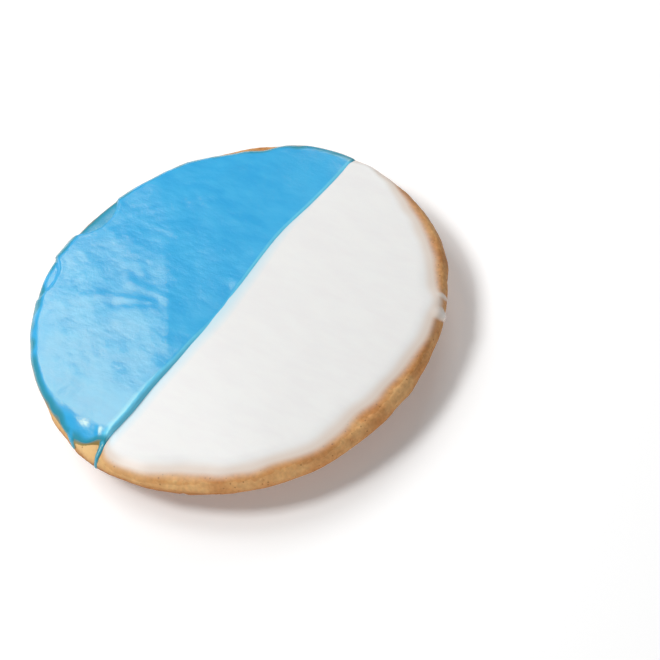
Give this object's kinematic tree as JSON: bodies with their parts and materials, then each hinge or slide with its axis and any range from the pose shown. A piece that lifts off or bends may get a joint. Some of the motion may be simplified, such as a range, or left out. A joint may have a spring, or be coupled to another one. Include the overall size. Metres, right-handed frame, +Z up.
{
  "type": "iced cookie",
  "caption": "Round soft cookie with a domed baked underside and a flat top iced half in blue and half in white, with small runs of icing over the rim",
  "frame": {"origin": "middle of the cookie, on the surface it rests on", "axes": "+Z up out of the iced face; the line between the icings runs along Y; blue icing on -X, white icing on +X"},
  "size_m": [0.1011, 0.1028, 0.0144],
  "materials": {
    "crust": "baked soft cake, matte",
    "blue_icing": "set sugar glaze, soft gloss",
    "white_icing": "set sugar glaze, soft gloss"
  },
  "bodies": {
    "root": {"cookie_base": "crust", "blue_icing": "blue_icing", "white_icing": "white_icing"}
  },
  "joints": []
}
